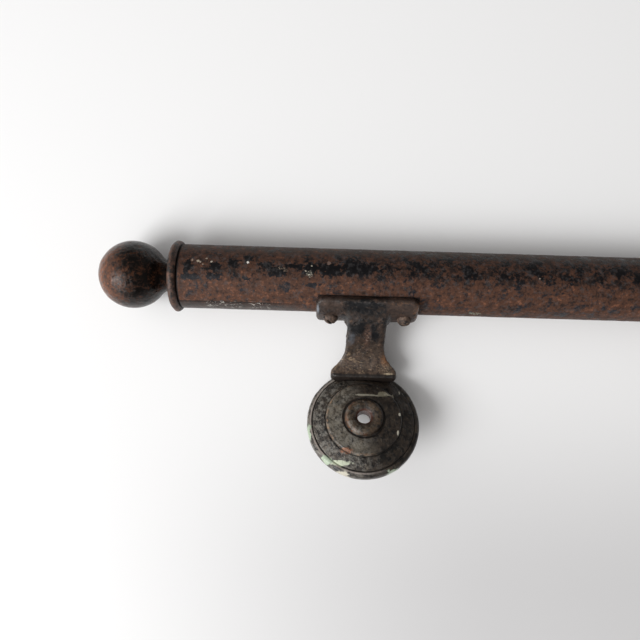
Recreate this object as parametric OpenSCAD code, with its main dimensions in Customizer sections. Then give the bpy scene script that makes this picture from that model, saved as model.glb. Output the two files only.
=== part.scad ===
// Wall handrail: an iron tube with a ball finial screwed into each end, carried on two cast
// brackets. X runs along the rail, +Z is up, and the wall is the plane Y = 0 with the rail
// standing off towards -Y. The origin is on the wall, midway between the two fixing holes.
// All sizes are millimetres.

/* [Rail] */
// Outside diameter of the tube
tube_d = 42.2; // [36:0.1:52]
// Thickness of the tube's wall
tube_wall = 3.56; // [2.8:0.01:5]
// Length of the tube
rail_l = 914.4; // [600:0.1:1800]

/* [Finials] */
// Diameter of the ball
ball_d = 44.6; // [36:0.1:56]
// Clear distance from the collar to the ball
ball_gap = 4.7; // [3.5:0.1:12]
// Diameter of the neck where it meets the collar
neck_d = 19.2; // [17.6:0.1:24]
// Length of the neck's straight land
neck_land = 1; // [0.5:0.1:3]
// Height of the collar's bead above the tube
collar_proud = 2.2; // [1:0.1:5]
// Width of the collar along the rail
collar_w = 5.6; // [4:0.1:9]
// Length of the collar's spigot inside the tube
spigot_l = 2; // [1:0.1:4]
// Diameter of the finial's stud
stud_d = 12.7; // [10:0.1:15.4]
// Depth of the stud in the ball, measured from the collar
stud_hold = 26; // [12:0.5:34]
// Length of the end plug, which holds the stud's thread
plug_l = 18; // [14:0.5:30]
// Gap between the collar's spigot and the plug
plug_gap = 1; // [0.5:0.1:4]

/* [Brackets] */
// Distance from each tube end to the middle of its bracket
bracket_inset = 122; // [60:0.5:250]
// Distance from the wall to the middle of the tube
wall_gap = 50.8; // [46:0.1:80]
// Height of the middle of the tube above the fixing holes
rail_rise = 80.5; // [74:0.1:120]
// Length of the saddle along the rail
saddle_l = 64; // [58:0.1:100]
// Thickness of the saddle
saddle_t = 5.7; // [4:0.1:8]
// Half of the angle that the saddle wraps round the tube
saddle_wrap = 29; // [24:1:45]
// Radius of the saddle's corners
saddle_corner = 5; // [2:0.1:8]
// Width of the arm below the saddle
arm_w = 25.4; // [18:0.1:34]
// Radius of the fillet between the arm and the saddle
arm_fillet = 2.2; // [1.5:0.1:6]
// Straight length of the arm's sides between the foot's flare and that fillet
arm_straight = 6.5; // [1:0.1:8]

/* [Saddle screws] */
// Distance between the two saddle screws
screw_pitch = 47.6; // [44:0.1:50]
// Angle by which the saddle screws lean towards the wall
screw_lean = 9; // [0:1:12]
// Diameter of a saddle screw
screw_d = 6; // [4:0.1:7]
// Diameter of its round head
head_d = 9.6; // [8:0.1:12]
// Height of its round head
head_h = 4.4; // [3:0.1:4.8]
// Length of screw that shows inside the tube
screw_tail = 3; // [1:0.1:6]

/* [Wall plates] */
// Diameter of the wall plate
plate_d = 74.4; // [60:0.1:96]
// Height of the plate's outer edge above the wall
edge_t = 3.2; // [2:0.1:4.5]
// Height of the rim where the dome starts
rim_t = 6; // [5.6:0.1:9]
// Width of the rounded rim
rim_w = 3.2; // [2:0.1:5]
// Width of the sloping band between the rim and the ring
slope_w = 9.4; // [6:0.1:10]
// Height of the slope's inner edge
slope_t = 9.8; // [8:0.1:10.6]
// Height of the ring's edge
ring_t = 11.2; // [10.8:0.1:12]
// Height of the dome next to the boss
crown_t = 12.4; // [11.6:0.1:14]
// Diameter of the boss at its foot
boss_d = 26.2; // [20:0.1:30]
// Diameter of the boss at its top
boss_top_d = 24.2; // [18:0.1:28]
// Height of the boss above the wall
boss_t = 15.4; // [14.8:0.1:22]
// Diameter of the fixing hole
hole_d = 9.52; // [6:0.01:12]
// Diameter of the worn mouth of the hole
mouth_d = 12.4; // [12.1:0.1:16]
// Depth of the worn mouth
mouth_t = 1.4; // [0.5:0.1:3]
// Depth of the hollow in the plate's back
hollow_t = 6; // [4:0.1:8]
// Width of the ring of the plate's back that touches the wall
land_w = 7; // [5:0.1:9]

/* [Foot] */
// How far the arm's foot laps over the plate
foot_lap = 9.5; // [8.5:0.1:12]
// Thickness of the foot
foot_t = 8; // [6:0.1:10]
// Distance from the foot's corners in to the plate's edge
foot_margin = 2; // [1:0.1:4]
// Distance between the two plate screws
plate_screw_pitch = 22; // [16:0.1:28]
// Diameter of a plate screw
plate_screw_d = 4.8; // [3:0.1:5.6]
// Diameter of its sunk head
plate_head_d = 8; // [6.4:0.1:8.4]

/* [Hidden] */

$fn = 96;
left = -1;
right = 1;
fit = 0.05;       // radial clearance of parts that fit in a hole
face_gap = 0.1;   // gap between flat faces that turn or slide apart
seat_gap = 0.3;   // gap between the collar's bead and the tube's end
clear = 0.25;     // radial clearance of a screw in the saddle and of the stud in the collar
over = 1;         // how far a cutting tool runs past the face that it cuts

tube_r = tube_d / 2;
bore_r = tube_r - tube_wall;
saddle_in = tube_r + fit;
saddle_out = tube_r + saddle_t;

// finial: heights along the rail are counted outwards from the tube's end
ball_r = ball_d / 2;
neck_r = neck_d / 2;
collar_face = seat_gap + collar_w;
neck_face = collar_face + face_gap;
ball_z = neck_face + ball_gap + ball_r;
// the cove is a circle that touches the ball and the neck's land
cove_rise = ball_z - neck_face - neck_land;
cove_r = (pow(cove_rise, 2) / (ball_r - neck_r) - ball_r - neck_r) / 2;
touch_r = ball_r * (neck_r + cove_r) / (ball_r + cove_r);
touch_z = ball_z - ball_r * cove_rise / (ball_r + cove_r);
plug_face = seat_gap - spigot_l - plug_gap;

// plate: radii from the hole's middle, heights from the wall
plate_r = plate_d / 2;
ring_r = plate_r - rim_w - slope_w;
boss_r = boss_d / 2;
groove = 0.6;     // width and depth of the fine grooves at the rim and the boss
land_r = plate_r - land_w;
seat_y = plate_r - foot_lap;
foot_y = seat_y + seat_gap;
foot_half = sqrt(pow(plate_r, 2) - pow(seat_y, 2)) - foot_margin;
foot_face = rim_t + foot_t;
foot_corner = 2.5;
screw_y = seat_y + foot_lap / 2 - 1.25;
sink_t = (plate_head_d - plate_screw_d) / 2;
sink_mouth = plate_head_d + 2 * face_gap + 3 * fit;
plate_screw_l = foot_face - 2;

// arm: its two long faces leave the foot and end on the saddle's outside, at these angles
front_angle = 12;
back_angle = -20;
curve_steps = 14;
saddle_low = rail_rise - saddle_out;
flare_low = foot_y + 5;
flare_top = saddle_low - arm_fillet - arm_straight;

function arc(cx, cy, r, a0, a1, n) =
    [for (i = [0:n]) let (a = a0 + (a1 - a0) * i / n) [cx + r * cos(a), cy + r * sin(a)]];

function bezier(a, b, c, d) =
    [for (i = [0:curve_steps]) let (t = i / curve_steps, s = 1 - t)
        s * s * s * a + 3 * s * s * t * b + 3 * s * t * t * c + t * t * t * d];

function flip_x(points) = [for (i = [len(points) - 1:-1:0]) [-points[i].x, points[i].y]];

function back_to_front(points) = [for (i = [len(points) - 1:-1:0]) points[i]];

// point on the saddle's outside: distance from the wall, height
function on_saddle(angle) =
    [wall_gap + saddle_out * sin(angle), rail_rise - saddle_out * cos(angle)];

// places
module at_end(side) {
    translate([side * rail_l / 2, -wall_gap, rail_rise]) rotate([0, side * 90, 0]) children();
}

module at_bracket(side) {
    translate([side * (rail_l / 2 - bracket_inset), 0, 0]) children();
}

// lays a drawing of distance from the wall and height along the rail, both ways from its middle
module along_rail(width) {
    rotate([90, 0, -90]) linear_extrude(width, center = true) children();
}

// raises a plate's drawing off the wall
module off_wall() {
    rotate([90, 0, 0]) children();
}

module at_saddle_screw(place) {
    translate([place * screw_pitch / 2, -wall_gap, rail_rise]) rotate([screw_lean, 0, 0]) children();
}

module at_plate_screws() {
    for (place = [left, right])
        translate([place * plate_screw_pitch / 2, screw_y, 0]) children();
}

// rail
module rail_tube() {
    color("sienna")
    difference() {
        translate([0, -wall_gap, rail_rise]) rotate([0, 90, 0]) difference() {
            cylinder(h = rail_l, r = tube_r, center = true);
            cylinder(h = rail_l + 2 * over, r = bore_r, center = true);
        }
        for (side = [left, right], place = [left, right])
            at_bracket(side) at_saddle_screw(place)
                translate([0, 0, -tube_r - over])
                    cylinder(h = tube_r + over, d = screw_d + 2 * fit);
    }
}

// finials
module ball_finial(side) {
    color("saddlebrown")
    at_end(side) difference() {
        union() {
            translate([0, 0, ball_z]) sphere(r = ball_r);
            translate([0, 0, neck_face]) cylinder(h = neck_land, r = neck_r);
            rotate_extrude() difference() {
                translate([0, neck_face + neck_land])
                    square([touch_r, touch_z - neck_face - neck_land]);
                translate([neck_r + cove_r, neck_face + neck_land]) circle(r = cove_r);
            }
        }
        translate([0, 0, neck_face - over])
            cylinder(h = stud_hold + over, d = stud_d + 2 * fit);
    }
}

module finial_stud(side) {
    color("dimgray")
    at_end(side) translate([0, 0, plug_face - plug_l])
        cylinder(h = neck_face + stud_hold - face_gap - plug_face + plug_l, d = stud_d);
}

module end_collar(side) {
    bead_r = tube_r + collar_proud;
    round_r = collar_w / 2;
    color("peru")
    at_end(side) difference() {
        union() {
            translate([0, 0, seat_gap]) rotate_extrude() {
                square([bead_r - round_r, collar_w]);
                translate([bead_r - round_r, round_r]) circle(r = round_r);
            }
            translate([0, 0, seat_gap - spigot_l])
                cylinder(h = spigot_l + over, r = bore_r - 2 * fit);
        }
        translate([0, 0, seat_gap - spigot_l - over])
            cylinder(h = spigot_l + collar_w + 2 * over, d = stud_d + 2 * clear);
    }
}

module end_plug(side) {
    color("gray")
    at_end(side) translate([0, 0, plug_face - plug_l]) difference() {
        cylinder(h = plug_l, r = bore_r - fit);
        translate([0, 0, -over]) cylinder(h = plug_l + 2 * over, d = stud_d + 2 * fit);
    }
}

// brackets
module arm_side() {
    front = bezier(
        [foot_face, foot_y + 1.5], [foot_face + 1, foot_y + 13.5],
        on_saddle(front_angle) - [18.4, 9.2], on_saddle(front_angle)
    );
    back = bezier(
        [rim_t, plate_r + 0.8], [rim_t + 4.5, plate_r + 7.5],
        on_saddle(back_angle) - [15, 6.5], on_saddle(back_angle)
    );
    polygon(concat(
        [[rim_t, foot_y], [foot_face - 1.5, foot_y]],
        front,
        [[wall_gap, rail_rise]],
        back_to_front(back)
    ));
}

module arm_front() {
    half = concat(
        arc(foot_half - foot_corner, foot_y + foot_corner, foot_corner, -90, 0, 4),
        bezier(
            [foot_half - 0.6, flare_low],
            [foot_half - 3.4, flare_low + 0.29 * (flare_top - flare_low)],
            [arm_w / 2 + 0.3, flare_top - 0.46 * (flare_top - flare_low)],
            [arm_w / 2, flare_top]
        ),
        arc(arm_w / 2 + arm_fillet, saddle_low - arm_fillet, arm_fillet, 180, 90, 6),
        [[arm_w / 2 + arm_fillet, rail_rise]]
    );
    polygon(concat(half, flip_x(half)));
}

module saddle() {
    reach = saddle_out * sin(saddle_wrap);
    wedge = 2 * saddle_out;
    intersection() {
        translate([0, -wall_gap, rail_rise]) rotate([0, 90, 0])
            cylinder(h = saddle_l, r = saddle_out, center = true);
        along_rail(saddle_l) polygon([
            [wall_gap, rail_rise],
            [wall_gap + wedge * sin(saddle_wrap), rail_rise - wedge * cos(saddle_wrap)],
            [wall_gap - wedge * sin(saddle_wrap), rail_rise - wedge * cos(saddle_wrap)]
        ]);
        translate([0, -wall_gap, rail_rise - 2 * saddle_out]) linear_extrude(2 * saddle_out) {
            square([saddle_l - 2 * saddle_corner, 2 * reach], center = true);
            square([saddle_l, 2 * (reach - saddle_corner)], center = true);
            for (x = [-1, 1], y = [-1, 1])
                translate([x * (saddle_l / 2 - saddle_corner), y * (reach - saddle_corner)])
                    circle(r = saddle_corner);
        }
    }
}

module bracket_arm(side) {
    head_sag = saddle_out - sqrt(pow(saddle_out, 2) - pow(head_d / 2, 2));
    color("darkslategray")
    at_bracket(side) difference() {
        union() {
            saddle();
            intersection() {
                along_rail(4 * foot_half) arm_side();
                off_wall() linear_extrude(2 * wall_gap) arm_front();
            }
        }
        translate([0, -wall_gap, rail_rise]) rotate([0, 90, 0])
            cylinder(h = saddle_l + 2 * over, r = saddle_in, center = true);
        for (place = [left, right]) at_saddle_screw(place) {
            translate([0, 0, -saddle_out - over])
                cylinder(h = saddle_out + over, d = screw_d + 2 * clear);
            translate([0, 0, -saddle_out - over])
                cylinder(h = over + head_sag, d = head_d + 2 * clear);
        }
        off_wall() at_plate_screws() cylinder(h = plate_screw_l + face_gap, d = plate_screw_d + 2 * fit);
    }
}

module saddle_screw(side, place) {
    head_sag = saddle_out - sqrt(pow(saddle_out, 2) - pow(head_d / 2, 2));
    dome_r = (pow(head_d / 2, 2) + pow(head_h, 2)) / (2 * head_h);
    color("rosybrown")
    at_bracket(side) at_saddle_screw(place) translate([0, 0, head_sag - saddle_out]) {
        difference() {
            intersection() {
                translate([0, 0, dome_r - head_h]) sphere(r = dome_r);
                translate([0, 0, -head_h]) cylinder(h = head_h, d = head_d);
            }
            translate([0, 0, -head_h]) cube([1.4, head_d + over, 3], center = true);
        }
        cylinder(h = saddle_t + tube_wall + screw_tail - head_sag, d = screw_d);
    }
}

module wall_plate(side) {
    rim_r = plate_r - rim_w;
    outline = concat(
        [[0, 0], [plate_r, 0], [plate_r, edge_t]],
        bezier(
            [plate_r, edge_t], [plate_r, (edge_t + rim_t) / 2 + 0.6],
            [rim_r + rim_w / 2, rim_t], [rim_r, rim_t]
        ),
        [
            [rim_r, rim_t - groove / 2], [rim_r - groove, rim_t - groove / 2],
            [rim_r - groove, rim_t + groove],
            [ring_r + groove, slope_t], [ring_r, ring_t], [boss_r + 2 * groove, crown_t],
            [boss_r + groove, crown_t - groove], [boss_r, crown_t - groove],
            [boss_top_d / 2 + groove, boss_t - groove], [boss_top_d / 2 - groove, boss_t],
            [0, boss_t]
        ]
    );
    color("darkolivegreen")
    at_bracket(side) off_wall() difference() {
        rotate_extrude() polygon(outline);
        // seat of the arm's foot
        translate([-plate_r, seat_y, rim_t]) cube([2 * plate_r, foot_lap + over, boss_t]);
        // fixing hole with its worn mouth
        translate([0, 0, -over]) cylinder(h = boss_t + 2 * over, d = hole_d);
        translate([0, 0, boss_t - mouth_t]) cylinder(h = mouth_t + over, d = mouth_d);
        // hollow back, left solid behind the foot
        intersection() {
            rotate_extrude() polygon([
                [0, -over], [land_r, -over], [land_r, edge_t - groove],
                [boss_r + land_w, hollow_t], [0, hollow_t]
            ]);
            translate([-plate_r, -plate_r, -2 * over])
                cube([2 * plate_r, plate_r + seat_y - land_w / 2, boss_t]);
        }
        at_plate_screws() {
            translate([0, 0, -over]) cylinder(h = rim_t + 2 * over, d = plate_screw_d + 2 * fit);
            translate([0, 0, -fit]) cylinder(
                h = (sink_mouth - plate_screw_d) / 2,
                d1 = sink_mouth + 2 * fit, d2 = plate_screw_d + 2 * fit
            );
        }
    }
}

module plate_screws(side) {
    color("silver")
    at_bracket(side) off_wall() at_plate_screws() difference() {
        translate([0, 0, face_gap]) {
            cylinder(h = sink_t, d1 = plate_head_d, d2 = plate_screw_d);
            cylinder(h = plate_screw_l - face_gap, d = plate_screw_d);
        }
        cube([1.2, plate_head_d + over, 2], center = true);
    }
}

rail_tube();
ball_finial(left);  // left_ball_finial
finial_stud(left);  // left_finial_stud
end_collar(left);  // left_end_collar
end_plug(left);  // left_end_plug
ball_finial(right);  // right_ball_finial
finial_stud(right);  // right_finial_stud
end_collar(right);  // right_end_collar
end_plug(right);  // right_end_plug
bracket_arm(left);  // left_bracket_arm
wall_plate(left);  // left_wall_plate
plate_screws(left);  // left_plate_screws
saddle_screw(left, left);  // left_saddle_screw_outer
saddle_screw(left, right);  // left_saddle_screw_inner
bracket_arm(right);  // right_bracket_arm
wall_plate(right);  // right_wall_plate
plate_screws(right);  // right_plate_screws
saddle_screw(right, right);  // right_saddle_screw_outer
saddle_screw(right, left);  // right_saddle_screw_inner
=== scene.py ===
"""Looks of a wall handrail with ball finials: cast iron, rust, worn paint, and a pale floor it lies against.

Lengths that are written out are millimetres, turned into metres by MM. X runs along the rail, Z is up and the
rail stands off the wall plane Y = 0 towards -Y.
"""

import bpy
import numpy as np
from mathutils import Matrix, Vector


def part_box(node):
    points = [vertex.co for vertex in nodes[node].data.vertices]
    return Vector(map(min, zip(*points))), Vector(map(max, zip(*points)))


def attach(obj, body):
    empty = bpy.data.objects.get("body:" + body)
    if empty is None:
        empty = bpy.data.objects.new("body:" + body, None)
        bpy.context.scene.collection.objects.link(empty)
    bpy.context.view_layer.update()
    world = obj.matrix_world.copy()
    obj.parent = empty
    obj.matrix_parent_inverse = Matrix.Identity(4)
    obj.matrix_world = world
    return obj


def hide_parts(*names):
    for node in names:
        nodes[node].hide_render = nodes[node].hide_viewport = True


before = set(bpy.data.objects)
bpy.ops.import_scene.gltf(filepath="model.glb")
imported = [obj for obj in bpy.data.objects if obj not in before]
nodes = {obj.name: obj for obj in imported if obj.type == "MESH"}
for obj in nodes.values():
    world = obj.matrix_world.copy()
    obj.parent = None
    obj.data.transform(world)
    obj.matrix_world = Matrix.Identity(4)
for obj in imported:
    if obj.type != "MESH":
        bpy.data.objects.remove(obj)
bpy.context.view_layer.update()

MM = 0.001
SIDES = {"left": -1, "right": 1}

# ---------------------------------------------------------------- sizes read from the frame
tube_lo, tube_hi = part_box("rail_tube")
AXIS_Y = (tube_lo.y + tube_hi.y) / 2
AXIS_Z = (tube_lo.z + tube_hi.z) / 2
TUBE_R = (tube_hi.z - tube_lo.z) / 2
TUBE_END = tube_hi.x
TUBE_WALL = 3.56 * MM
BORE_R = TUBE_R - TUBE_WALL

plate_lo, plate_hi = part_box("right_wall_plate")
PLATE_X = (plate_lo.x + plate_hi.x) / 2
PLATE_R = (plate_hi.x - plate_lo.x) / 2

saddle_lo, saddle_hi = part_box("right_bracket_arm")
SADDLE_L = saddle_hi.x - saddle_lo.x
FOOT_Z = saddle_lo.z
SADDLE_T = 5.7 * MM
SADDLE_WRAP = np.radians(29)
RIM_T = 6.0 * MM
FOOT_FACE = 14.0 * MM
ARM_W = 25.4 * MM

SADDLE_OUT = TUBE_R + SADDLE_T
SADDLE_LOW = AXIS_Z - SADDLE_OUT
FOOT_HALF = 22.83 * MM
ARM_FILLET = 2.2 * MM
ARM_STRAIGHT = 6.5 * MM
SOLE_ROUND = 2.5 * MM
SCREW_LEAN = np.radians(9)
FLOOR_REACH = 23.5 * MM

# the floor that the rail lies on is tipped back from the wall plane by this angle
TIP = np.radians(31)
FLOOR_N = np.array([0.0, -np.cos(TIP), -np.sin(TIP)])   # out of the floor
FLOOR_U = np.array([0.0, -np.sin(TIP), np.cos(TIP)])    # up the floor, square to the rail
AXIS = np.array([0.0, AXIS_Y, AXIS_Z])

ball_lo, ball_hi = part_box("right_ball_finial")
BALL_R = (ball_hi.z - ball_lo.z) / 2
BALL_OUT = ball_hi.x - BALL_R - TUBE_END      # from the tube's end to the ball's middle
NECK_FACE = ball_lo.x - TUBE_END
NECK_R = 9.6 * MM
collar_lo, collar_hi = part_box("right_end_collar")
BEAD_R = (collar_hi.z - collar_lo.z) / 2
COLLAR_IN, COLLAR_OUT = 0.3 * MM, collar_hi.x - TUBE_END
BOSS_R = 13.1 * MM
RING_R = PLATE_R - 12.6 * MM
GROOVE_R = PLATE_R - 3.2 * MM


# ---------------------------------------------------------------- camera
def make_camera():
    """Looks straight down on the floor beside the left-hand bracket, turned a little so that the rail falls
    to the right."""
    roll = np.radians(1.75)
    across = np.array([1.0, 0.0, 0.0])
    right = np.cos(roll) * across + np.sin(roll) * FLOOR_U
    up = np.cos(roll) * FLOOR_U - np.sin(roll) * across
    place = AXIS + np.array([-PLATE_X - 30.6 * MM, 0, 0]) - 26.5 * MM * FLOOR_U + 366 * MM * FLOOR_N
    data = bpy.data.cameras.new("camera")
    data.sensor_width = 36
    data.lens = 36 * 550 / 640
    data.clip_start = 0.01
    data.clip_end = 50
    camera = bpy.data.objects.new("camera", data)
    turn = np.column_stack([right, up, FLOOR_N])
    camera.matrix_world = Matrix.Translation(Vector(place)) @ Matrix(turn.tolist()).to_4x4()
    bpy.context.scene.collection.objects.link(camera)
    bpy.context.scene.camera = camera


# ---------------------------------------------------------------- numbers for surfaces
def lattice_noise(points, cell, seed):
    """Smooth random field from -1 to 1: random numbers on a cubic lattice of the given cell size, blended
    with a smoothstep between the eight corners of each point's cell."""
    table = np.random.default_rng(seed).uniform(-1, 1, 4096)
    q = points / cell
    base = np.floor(q).astype(np.int64)
    f = q - base
    f = f * f * (3 - 2 * f)
    total = np.zeros(points.shape[:-1])
    for corner in np.ndindex(2, 2, 2):
        c = base + np.array(corner)
        pick = (c[..., 0] * 73856093) ^ (c[..., 1] * 19349663) ^ (c[..., 2] * 83492791)
        weight = np.prod(np.where(np.array(corner) == 1, f, 1 - f), axis=-1)
        total += weight * table[pick & 4095]
    return total


def rough_iron(points, seed, lumps=0.12, grain=0.05, pits=0.10):
    """Height of a rusty cast surface in metres: slow lumps, finer grain, and pits where a third field runs
    high. The three depths are in millimetres."""
    slow = lattice_noise(points, 9 * MM, seed) + 0.5 * lattice_noise(points, 4.3 * MM, seed + 1)
    fine = lattice_noise(points, 1.7 * MM, seed + 2) + 0.6 * lattice_noise(points, 0.9 * MM, seed + 3)
    deep = np.clip(lattice_noise(points, 2.6 * MM, seed + 4) - 0.35, 0, 1)
    return (lumps * slow + grain * fine - pits * deep / 0.65) * MM


def bezier(a, b, c, d, n):
    """Points of the cubic curve through a and d, pulled towards b and c."""
    t = np.linspace(0, 1, n)[:, None]
    a, b, c, d = (np.asarray(p, float) for p in (a, b, c, d))
    return (1 - t) ** 3 * a + 3 * (1 - t) ** 2 * t * b + 3 * (1 - t) * t * t * c + t ** 3 * d


def arc(centre, radius, start, end, n):
    """Points of a circular arc, angles in degrees."""
    a = np.radians(np.linspace(start, end, n))
    return np.column_stack([centre[0] + radius * np.cos(a), centre[1] + radius * np.sin(a)])


def soften(outline, step, radius):
    """An outline walked in equal steps, then averaged with a bell curve so that its corners round off. The
    two ends stay where they are."""
    outline = np.asarray(outline, float)
    along = np.r_[0, np.cumsum(np.linalg.norm(np.diff(outline, axis=0), axis=1))]
    n = max(int(round(along[-1] / step)), 8)
    walk = np.linspace(0, along[-1], n + 1)
    points = np.column_stack([np.interp(walk, along, outline[:, k]) for k in range(outline.shape[1])])
    reach = max(int(3 * radius / step), 1)
    bell = np.exp(-0.5 * (np.arange(-reach, reach + 1) * step / radius) ** 2)
    bell /= bell.sum()
    before, after = 2 * points[0] - points[reach:0:-1], 2 * points[-1] - points[-2:-reach - 2:-1]
    padded = np.vstack([before, points, after])
    return np.column_stack([np.convolve(padded[:, k], bell, "valid") for k in range(points.shape[1])])


# ---------------------------------------------------------------- meshes
def link(name, mesh, body, stands_for, material, rounds=3):
    """Puts a finished mesh into the scene as one piece of the object, with its edge measure worked out for
    edge wear and for painted shade in grooves.
    """
    mesh.validate()
    mesh.polygons.foreach_set("use_smooth", [True] * len(mesh.polygons))
    mark_edges(mesh, rounds)
    mesh.materials.append(material)
    piece = bpy.data.objects.new(name, mesh)
    bpy.context.scene.collection.objects.link(piece)
    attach(piece, body)
    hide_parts(*stands_for)
    return piece


def grid_mesh(name, rings, join_ends=False):
    """Skin of a stack of closed rings, given as an array (ring, point on ring, xyz). The last ring joins the
    first, or else each end is closed with a fan to the ring's middle."""
    count, around = rings.shape[:2]
    vertices = rings.reshape(-1, 3)
    i = np.arange(count if join_ends else count - 1)[:, None]
    j = np.arange(around)[None, :]
    nxt, turn = (i + 1) % count, (j + 1) % around
    faces = np.stack([i * around + j, i * around + turn, nxt * around + turn, nxt * around + j], -1)
    faces = faces.reshape(-1, 4)
    loops = [faces.ravel()]
    totals = [np.full(len(faces), 4)]
    if not join_ends:
        first, last = len(vertices), len(vertices) + 1
        vertices = np.vstack([vertices, rings[0].mean(0), rings[-1].mean(0)])
        k = np.arange(around)
        k2 = (k + 1) % around
        start = (count - 1) * around
        fans = np.vstack([
            np.column_stack([np.full(around, first), k2, k]),
            np.column_stack([np.full(around, last), start + k, start + k2]),
        ])
        loops.append(fans.ravel())
        totals.append(np.full(len(fans), 3))
    loops, totals = np.concatenate(loops), np.concatenate(totals)
    mesh = bpy.data.meshes.new(name)
    mesh.vertices.add(len(vertices))
    mesh.vertices.foreach_set("co", vertices.ravel())
    mesh.loops.add(len(loops))
    mesh.loops.foreach_set("vertex_index", loops)
    mesh.polygons.add(len(totals))
    mesh.polygons.foreach_set("loop_start", np.r_[0, np.cumsum(totals)[:-1]])
    mesh.update(calc_edges=True)
    if enclosed_volume(mesh) < 0:
        mesh.flip_normals()
    return mesh


def triangle_corners(mesh):
    """Corner positions of the mesh's triangles, an array (triangle, corner, xyz)."""
    mesh.calc_loop_triangles()
    pick = np.zeros(len(mesh.loop_triangles) * 3, np.int32)
    mesh.loop_triangles.foreach_get("vertices", pick)
    co = np.zeros(len(mesh.vertices) * 3)
    mesh.vertices.foreach_get("co", co)
    return co.reshape(-1, 3)[pick].reshape(-1, 3, 3)


def enclosed_volume(mesh):
    """Sum of the signed volumes between the origin and each triangle, above 0 if the faces point outwards."""
    t = triangle_corners(mesh)
    return float(np.einsum("ij,ij->i", t[:, 0], np.cross(t[:, 1], t[:, 2])).sum() / 6)


def lathe_rings(profile, around, place, axis, side):
    """Rings of a turned shape: profile rows are (distance along the axis, radius), place is the axis's zero
    point, and axis and side are the directions of the axis and of the angle zero."""
    axis, side = np.asarray(axis, float), np.asarray(side, float)
    third = np.cross(axis, side)
    a = np.linspace(0, 2 * np.pi, around, endpoint=False)
    spoke = np.cos(a)[:, None] * side + np.sin(a)[:, None] * third
    return place + profile[:, :1, None] * axis + profile[:, 1:, None] * spoke[None]


def ring_normals(rings, join_ends=False):
    """Unit normals of a ring stack, from the cross product of its differences around and along."""
    along = np.roll(rings, -1, 0) - np.roll(rings, 1, 0) if join_ends else np.gradient(rings, axis=0)
    around = np.roll(rings, -1, 1) - np.roll(rings, 1, 1)
    n = np.cross(around, along)
    length = np.linalg.norm(n, axis=-1, keepdims=True)
    return n / np.maximum(length, 1e-12)


def roughened(rings, height, join_ends=False, middle=None, rows=slice(None)):
    """The rings moved along their normals by a height in metres. If a middle is given, the normals are first
    turned so that those of the chosen rows face away from it."""
    normal = ring_normals(rings, join_ends)
    if middle is not None:
        normal = normal * np.sign(np.einsum("ijk,ijk->ij", normal[rows], rings[rows] - middle).mean())
    return rings + normal * height[..., None]


def mark_edges(mesh, rounds):
    """Stores how far each point stands out from its neighbours as the attribute "edge": the mean slope from
    the point's tangent plane down to the next points, averaged over the neighbours a few rounds. It is above
    0 on an edge and below 0 in a groove."""
    co = np.zeros(len(mesh.vertices) * 3)
    normal = np.zeros(len(mesh.vertices) * 3)
    pairs = np.zeros(len(mesh.edges) * 2, np.int32)
    mesh.vertices.foreach_get("co", co)
    mesh.vertex_normals.foreach_get("vector", normal)
    mesh.edges.foreach_get("vertices", pairs)
    co, normal, pairs = co.reshape(-1, 3), normal.reshape(-1, 3), pairs.reshape(-1, 2)
    way = co[pairs[:, 1]] - co[pairs[:, 0]]
    way /= np.maximum(np.linalg.norm(way, axis=1, keepdims=True), 1e-9)
    a, b = pairs[:, 0], pairs[:, 1]
    count = np.bincount(pairs.ravel(), minlength=len(co))
    slope = np.bincount(a, -np.einsum("ij,ij->i", normal[a], way), len(co))
    slope += np.bincount(b, np.einsum("ij,ij->i", normal[b], way), len(co))
    slope /= np.maximum(count, 1)
    for _ in range(rounds):
        near = np.bincount(a, slope[b], len(co)) + np.bincount(b, slope[a], len(co))
        slope = 0.4 * slope + 0.6 * near / np.maximum(count, 1)
    spread = np.sqrt(np.mean(slope ** 2)) + 1e-9
    edge = mesh.attributes.new("edge", "FLOAT", "POINT")
    edge.data.foreach_set("value", np.clip(slope / spread, -4, 4).astype(np.float32))


# ---------------------------------------------------------------- shader words
def feed(tree, socket, value):
    """Joins a socket to another node's output, or sets its own value."""
    if isinstance(value, bpy.types.NodeSocket):
        tree.links.new(value, socket)
    elif socket.type == "RGBA" and len(value) == 3:
        socket.default_value = (*value, 1)
    else:
        socket.default_value = value


def put(tree, kind, feeds=None, **options):
    """Adds a node, sets its options and feeds its inputs."""
    made = tree.nodes.new(kind)
    for key, value in options.items():
        setattr(made, key, value)
    for key, value in (feeds or {}).items():
        feed(tree, made.inputs[key], value)
    return made


def calc(tree, operation, *values, clamp=False):
    """A sum, product or other arithmetic on numbers."""
    made = put(tree, "ShaderNodeMath", dict(enumerate(values)), operation=operation, use_clamp=clamp)
    return made.outputs[0]


def vector(tree, operation, *values, out="Vector"):
    """Arithmetic on vectors."""
    return put(tree, "ShaderNodeVectorMath", dict(enumerate(values)), operation=operation).outputs[out]


def rise(tree, value, low, high):
    """0 up to low, 1 from high, and a smooth step between them; low may be the larger."""
    return put(tree, "ShaderNodeMapRange", {"Value": value, "From Min": low, "From Max": high},
               interpolation_type="SMOOTHSTEP").outputs[0]


def away(tree, value, middle, low, high):
    """The rise of how far a value is from a middle."""
    return rise(tree, calc(tree, "ABSOLUTE", calc(tree, "SUBTRACT", value, middle)), low, high)


def mixed(tree, share, a, b, how="MIX"):
    """Colour a with a share of colour b."""
    made = put(tree, "ShaderNodeMix", data_type="RGBA", blend_type=how)
    feed(tree, made.inputs[0], share)
    feed(tree, made.inputs[6], a)
    feed(tree, made.inputs[7], b)
    return made.outputs[2]


def grain(tree, place, per_metre, detail=3, rough=0.6, lopsided=0.0):
    """Noise from 0 to 1."""
    return put(tree, "ShaderNodeTexNoise",
               {"Vector": place, "Scale": per_metre, "Detail": detail, "Roughness": rough,
                "Distortion": lopsided}).outputs[0]


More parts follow.
